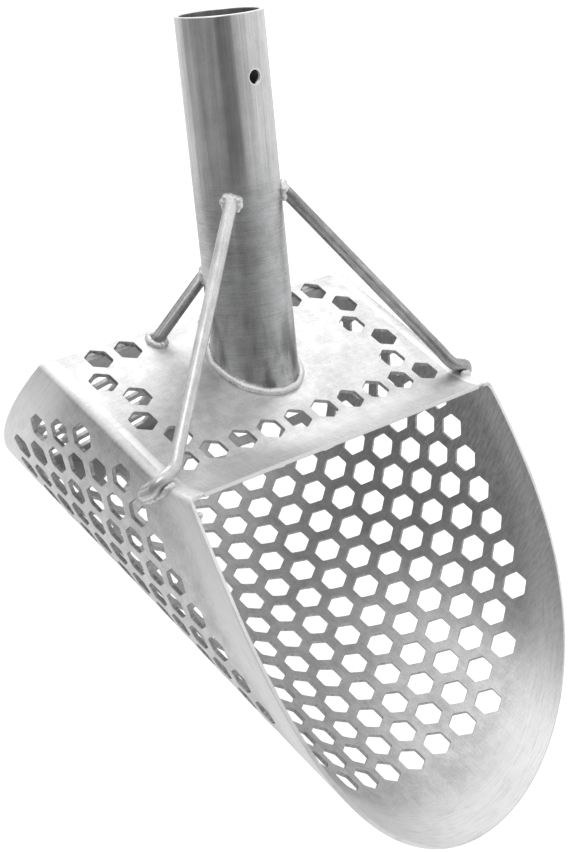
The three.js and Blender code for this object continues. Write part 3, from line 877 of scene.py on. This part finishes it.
def side_seam(side, label):
    """The weld between a flange and the plate, ground down to a faint low ridge."""
    stations = np.arange(-PLATE_REAR + 0.3, LIP_END, 1.2)
    profile = np.linspace(-1, 1, 9)
    half_width = SEAM_HALF_WIDTH + 0.9
    sunk = 0.08
    vertices, flow = [], []
    for i, ahead in enumerate(stations):
        crown = 0.26 + 0.04 * math.sin(i * 0.9) * math.sin(i * 0.23)
        upper = [(part, crown * (1 - part ** 2) - sunk) for part in profile]
        lower = [(part, -SHEET - z) for part, z in upper[::-1]]
        for part, z in upper + lower:
            x = side * SEAM_X + part * half_width
            vertices.append((x, -SOCKET_SETBACK - ahead, z))
            flow.append((ahead, x, 0))
    size = 2 * len(profile)
    faces = rings_to_faces(len(stations), size, False)
    faces.append(list(range(size))[::-1])
    faces.append([len(vertices) - size + i for i in range(size)])
    none = np.zeros(len(vertices))
    marks = {"flow": flow, "rim": none + 14, "heat": none, "painted_shade": none, "bare_and_highlight": none}
    return piece(f"side_seam_{label}", lifted(vertices), faces, SHEET_STEEL, marks=marks,
                 replaced=[f"side_seam_weld_{label}"])


# ------------------------------------------------------------------ handle socket

ABOUT_SOCKET = np.array([
    [1, 0, 0],
    [0, math.cos(SOCKET_RAKE), -math.sin(SOCKET_RAKE)],
    [0, math.sin(SOCKET_RAKE), math.cos(SOCKET_RAKE)],
])


def around_socket(height, bearing, radius):
    """Points at a height along the socket's axis, a bearing from straight ahead and a radius."""
    height, bearing, radius = np.broadcast_arrays(height, bearing, radius)
    local = np.stack([np.sin(bearing) * radius, -np.cos(bearing) * radius, height], -1)
    return local @ ABOUT_SOCKET


def socket_foot(bearing, radius):
    """Height along the axis at which a ray on the wall meets the plate."""
    return -np.cos(bearing) * radius * math.tan(SOCKET_RAKE)


def socket_rings(bearings):
    """Rings of points up the outside of the tube, over its rim and down the inside."""
    soft = 0.5
    chamfer = 0.15
    inner = SOCKET_RADIUS - SOCKET_WALL
    levels = np.linspace(0, 1, 40)
    rim = [
        (SOCKET_RADIUS - chamfer, -chamfer),
        (SOCKET_RADIUS - soft, 0),
        (inner + soft, 0),
        (inner + chamfer, -chamfer),
    ]

    def ring(level, radius):
        foot = socket_foot(bearings, radius)
        return around_socket(foot + (SOCKET_LENGTH - soft - foot) * level, bearings, radius)

    outside = [ring(level, SOCKET_RADIUS) for level in levels]
    over = [around_socket(SOCKET_LENGTH + drop, bearings, radius) for radius, drop in rim]
    return outside + over + [ring(level, inner) for level in levels[::-1]]


def drilled(vertices, faces):
    """The tube's mesh with the cross hole cut through it."""
    centre = Vector(around_socket(SOCKET_LENGTH - PIN_HOLE_DROP, 0, 0))
    along = Vector(around_socket(0, 0, 1)).to_track_quat("Z", "Y").to_matrix().to_4x4()
    build = bmesh.new()
    bmesh.ops.create_cone(build, cap_ends=True, segments=32, radius1=PIN_HOLE_RADIUS,
                          radius2=PIN_HOLE_RADIUS, depth=3 * SOCKET_RADIUS,
                          matrix=Matrix.Translation(centre) @ along)
    tube_mesh = bpy.data.meshes.new("socket_draft")
    tube_mesh.from_pydata(vertices.tolist(), [], faces)
    drill_mesh = bpy.data.meshes.new("drill_draft")
    build.to_mesh(drill_mesh)
    build.free()
    tube, drill = [bpy.data.objects.new(mesh.name, mesh) for mesh in (tube_mesh, drill_mesh)]
    for each in (tube, drill):
        bpy.context.scene.collection.objects.link(each)
    hole = tube.modifiers.new("hole", "BOOLEAN")
    hole.operation = "DIFFERENCE"
    hole.object = drill
    made = evaluated(tube)
    for each in (tube, drill):
        bpy.data.objects.remove(each)
    return made


def handle_socket():
    sides = 128
    rings = socket_rings(np.linspace(0, 2 * math.pi, sides, endpoint=False))
    faces = [face[::-1] for face in rings_to_faces(len(rings), sides, True)]
    tube = drilled(np.concatenate(rings), faces)
    vertices = np.array([v.co[:] for v in tube.vertices])
    local = vertices @ ABOUT_SOCKET.T
    radial = unit(local * (1, 1, 0)) @ ABOUT_SOCKET
    on_wall = 0.97
    faces, normals = [], []
    for face in tube.polygons:
        faces.append(list(face.vertices))
        for corner in face.vertices:
            lean = float(np.dot(radial[corner], face.normal))
            smooth = abs(lean) > on_wall
            normals.append(tuple(radial[corner] * math.copysign(1, lean) if smooth else face.normal))
    socket = piece("socket_tube", vertices, faces, TUBE_STEEL, marks={"flow": local},
                   replaced=["handle_socket"])
    socket.data.normals_split_custom_set(normals)
    return socket


def socket_base_weld():
    """A bead round the ellipse in which the tube meets the plate."""
    rise = 0.9
    across = SOCKET_RADIUS + rise
    along = across / math.cos(SOCKET_RAKE)
    points = []
    for turn in np.linspace(0, 2 * math.pi, 48, endpoint=False):
        y = along * math.sin(turn) + rise * math.tan(SOCKET_RAKE)
        points.append((across * math.cos(turn), y, rise))
    return weld_bead("socket_bead", points, 1.7, ["socket_base_weld"], closed=True, wander=0.35)


def rear_rim_weld():
    """A bead round the edge of the rear plate, inside the trough and under the plate."""
    x, z = closed_section(SHEET / 2 + REAR_BEAD * 0.7, 90).T
    under_plate = np.linspace(x[-1], x[0], 40)[1:-1]
    x = np.concatenate([x, under_plate])
    z = np.concatenate([z, np.full(len(under_plate), z[-1])])
    points = on_rear_plane(x, z, REAR_RECESS - 1.2)
    return weld_bead("rear_bead", points, REAR_BEAD, ["rear_rim_weld"], closed=True, ripple=2.6)


# ------------------------------------------------------------------ struts

def over_corner(side, degrees, y, radius):
    """A point over the corner of a side wall, turned from straight up towards the wall."""
    turn = math.radians(degrees)
    return side * (CORNER_X + math.sin(turn) * radius), y, math.cos(turn) * radius - CORNER_RADIUS


def tail_run(side):
    """The way a front strut's end runs down the wall."""
    return np.array([side * TAIL_DROP * math.tan(WALL_LEAN), TAIL_SWEEP, -TAIL_DROP])


def front_strut_path(side):
    """Straight from the socket, then sharply over the corner and down the wall."""
    top = around_socket(FRONT_STRUT_HEIGHT, side * FRONT_STRUT_BEARING, SOCKET_RADIUS + 1.5)
    track = CORNER_RADIUS + ROD_RADIUS + 0.3
    landing = np.array([side * FRONT_STRUT_LANDING, FRONT_STRUT_Y, track - CORNER_RADIUS])
    points = [top + (landing - top) * part for part in np.linspace(0, 0.975, 12)]
    points += [over_corner(side, degrees, FRONT_STRUT_Y, track) for degrees in (12, 40, 65, 90)]
    points.append(np.array(points[-1]) + tail_run(side))
    return lifted(smooth_path(points, 1.5))


def rear_strut_path(side):
    top = around_socket(REAR_STRUT_HEIGHT, side * REAR_STRUT_BEARING, SOCKET_RADIUS + 1.5)
    foot = np.array([side * REAR_FOOT_X, REAR_FOOT_Y, 0.5])
    return smooth_path([top, (top + foot) / 2, foot], 2.0)


def strut(name, path, finish, node):
    vertices, faces, flow = sweep(path, ROD_RADIUS, 28)
    return piece(name, vertices, faces, finish, marks={"flow": flow}, replaced=[node])


def strut_top_weld(name, height, bearing, node):
    """Drops of weld round the end of a rod, on the wall of the socket."""
    blobs = [(around_socket(height + 0.5, bearing, SOCKET_RADIUS + 1.2), 3.0)]
    for turn in np.linspace(-0.25 * math.pi, 1.25 * math.pi, 9):
        reach = ROD_RADIUS + dice.uniform(0.2, 1.0)
        around = bearing + math.cos(turn) * reach / SOCKET_RADIUS
        lift = height + math.sin(turn) * reach
        place = around_socket(lift, around, SOCKET_RADIUS + dice.uniform(0.4, 1.2))
        blobs.append((place, dice.uniform(1.4, 2.1)))
    return weld_lump(name, blobs, [node])


def front_foot_weld(side, label):
    """A bead down one side of the strut's tail, round its end and up the other side."""
    offset = ROD_RADIUS + 0.9
    reach = CORNER_RADIUS + 0.7
    turns = (-15, 15, 50, 85)
    down = [over_corner(side, degrees, FRONT_STRUT_Y - offset, reach) for degrees in turns]
    up = [over_corner(side, degrees, FRONT_STRUT_Y + offset, reach) for degrees in turns[::-1]]
    around = []
    for part in (-0.9, 0, 0.9):
        below = np.array(over_corner(side, 90, FRONT_STRUT_Y + part * offset, reach)) + tail_run(side)
        around.append(below - (0, 0, offset * (1 - part * part)))
    return weld_bead(f"front_foot_bead_{label}", lifted(down + around + up), 1.5,
                     [f"front_strut_foot_weld_{label}"])


def spatter():
    """A drop of weld that has come through inside the left wall, near the mouth's top corner."""
    places = [(-92.5, -71.2, 0.2), (-92.4, -69.6, -2.0), (-92.6, -71.8, -2.6)]
    return weld_lump("burn_through_left", [(place, dice.uniform(1.2, 1.8)) for place in places])


def rear_foot_weld(side, label):
    reach = ROD_RADIUS + 0.8
    turns = np.linspace(0, 2 * math.pi, 12, endpoint=False)
    x = side * REAR_FOOT_X + np.cos(turns) * reach
    y = REAR_FOOT_Y + np.sin(turns) * reach * 1.15
    points = np.stack([x, y, np.full(len(turns), 0.4)], 1)
    return weld_bead(f"rear_foot_bead_{label}", points, 1.5, [f"rear_strut_foot_weld_{label}"], closed=True)


# ------------------------------------------------------------------ assembly

trough_shell()
top_plate()
rear_plate()
handle_socket()
socket_base_weld()
rear_rim_weld()
for side, label in ((-1, "left"), (1, "right")):
    side_seam(side, label)
    # The left front rod takes the lit copy of the rod steel, the other rods the shaded copy.
    front_finish = LIT_ROD if label == "left" else SHADED_ROD
    strut(f"front_rod_{label}", front_strut_path(side), front_finish, f"front_strut_{label}")
    strut(f"rear_rod_{label}", rear_strut_path(side), SHADED_ROD, f"rear_strut_{label}")
    strut_top_weld(f"front_top_bead_{label}", FRONT_STRUT_HEIGHT, side * FRONT_STRUT_BEARING,
                   f"front_strut_top_weld_{label}")
    strut_top_weld(f"rear_top_bead_{label}", REAR_STRUT_HEIGHT, side * REAR_STRUT_BEARING,
                   f"rear_strut_top_weld_{label}")
    front_foot_weld(side, label)
    rear_foot_weld(side, label)
spatter()

# ------------------------------------------------------------------ stage, light and camera

VIEW_PLACE = (-526.1, -438.3, 488.6)
VIEW_AZIMUTH = math.radians(52.06)     # from straight back, towards the right
VIEW_TILT = math.radians(37.2)         # looking down
VIEW_ROLL = math.radians(-17.16)
VIEW_LENS = 75.85
LEVEL_SIGHT = (math.sin(VIEW_AZIMUTH) * math.cos(VIEW_TILT), math.cos(VIEW_AZIMUTH) * math.cos(VIEW_TILT))
FLOOR_SIZE = 12.0                      # in metres, from the middle to a side
FLOOR_GAP = 0.001


def floor():
    """A large pale floor just under the keel, which glows white to the camera. Its glow lights the object
    less on the camera's side.
    """
    build = bmesh.new()
    bmesh.ops.create_grid(build, x_segments=8, y_segments=8, size=FLOOR_SIZE)
    mesh = bpy.data.meshes.new("floor")
    build.to_mesh(mesh)
    build.free()
    made = bpy.data.objects.new("floor", mesh)
    made.location.z = cad_bounds[0].z - FLOOR_GAP
    bpy.context.scene.collection.objects.link(made)
    finish = Finish("glowing_floor")
    finish.set("Base Color", grey(0.2))
    finish.set("Roughness", 0.9)
    finish.set("Emission Color", grey(1.0))
    glow = finish.ramp(finish.axes(finish.position())[0], -360.0, -120.0, 0.1, 0.68)
    finish.set("Emission Strength", finish.math("MAXIMUM", finish.seen(), glow))
    mesh.materials.append(finish.material)


def studio():
    """White surroundings that light the object less from the camera's side."""
    world = bpy.data.worlds.new("studio")
    bpy.context.scene.world = world
    world.use_nodes = True
    nodes = Nodes(world.node_tree)
    sky = nodes.tree.nodes["Background"]
    nodes.put(sky.inputs["Color"], grey(1.0))
    mirrored_sight = (*LEVEL_SIGHT, math.sin(VIEW_TILT))
    beyond = nodes.measured("DOT_PRODUCT", nodes.add("TexCoord", output="Generated"), mirrored_sight)
    glow = nodes.ramp(beyond, -0.9, 0.6, 0.13, 0.95)
    nodes.put(sky.inputs["Strength"], nodes.math("MAXIMUM", nodes.seen(), glow))


def softbox(name, place, aim, size, power):
    """A rectangular lamp. Its place, aim and size are in metres."""
    lamp = bpy.data.lights.new(name, "AREA")
    lamp.shape = "RECTANGLE"
    lamp.size, lamp.size_y = size
    lamp.energy = power
    made = bpy.data.objects.new(name, lamp)
    made.location = place
    made.rotation_euler = (Vector(aim) - Vector(place)).to_track_quat("-Z", "Y").to_euler()
    bpy.context.scene.collection.objects.link(made)


def camera():
    lens = bpy.data.cameras.new("camera")
    lens.lens = VIEW_LENS
    lens.sensor_width = 36
    lens.clip_start = 0.01
    made = bpy.data.objects.new("camera", lens)
    turn = Matrix.Rotation(-VIEW_AZIMUTH, 4, "Z") @ Matrix.Rotation(math.pi / 2 - VIEW_TILT, 4, "X")
    roll = Matrix.Rotation(-VIEW_ROLL, 4, "Z")
    made.matrix_world = Matrix.Translation(Vector(ORIGIN + np.array(VIEW_PLACE) * MM)) @ turn @ roll
    bpy.context.scene.collection.objects.link(made)
    bpy.context.scene.camera = made


floor()
studio()
middle = (0, 0, 0.15)
softbox("key", (-0.9, -0.1, 1.3), middle, (0.7, 0.7), 3)
softbox("back", (0.6, 1.1, 0.9), middle, (1.2, 0.8), 4)
camera()
bpy.context.scene.view_settings.view_transform = "Standard"
